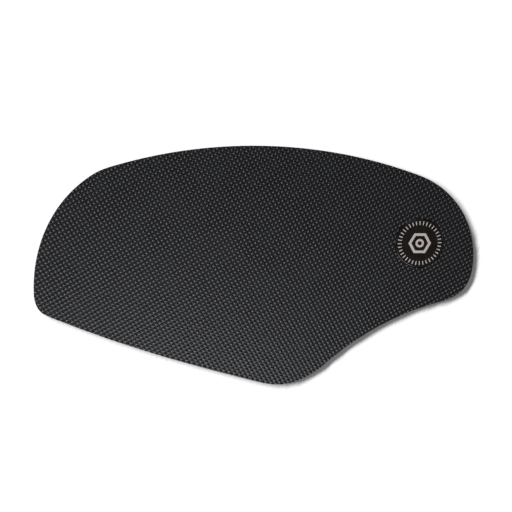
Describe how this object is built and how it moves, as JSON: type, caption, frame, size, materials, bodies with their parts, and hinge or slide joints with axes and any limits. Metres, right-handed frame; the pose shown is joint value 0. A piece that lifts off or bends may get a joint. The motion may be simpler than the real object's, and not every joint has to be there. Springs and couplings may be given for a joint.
{
  "type": "motorcycle tank pad",
  "caption": "Thin flat side pad for a fuel tank: a flexible sheet covered in small raised dots, cut to a smooth lopsided outline, with a round glossy badge near its front end.",
  "frame": {"origin": "on the flat back, in the middle of the pad's length and width", "axes": "+X along the pad's length to its front end, which carries the badge; +Y to its upper edge; +Z out of the gripping face"},
  "size_m": [0.267, 0.147, 0.002],
  "materials": {
    "grip": "satin black flexible plastic, moulded with raised dots",
    "badge": "smooth glossy black with a rounded rim and a plain silver print"
  },
  "bodies": {
    "root": {"grip_sheet": "grip", "badge": "badge"}
  },
  "joints": []
}
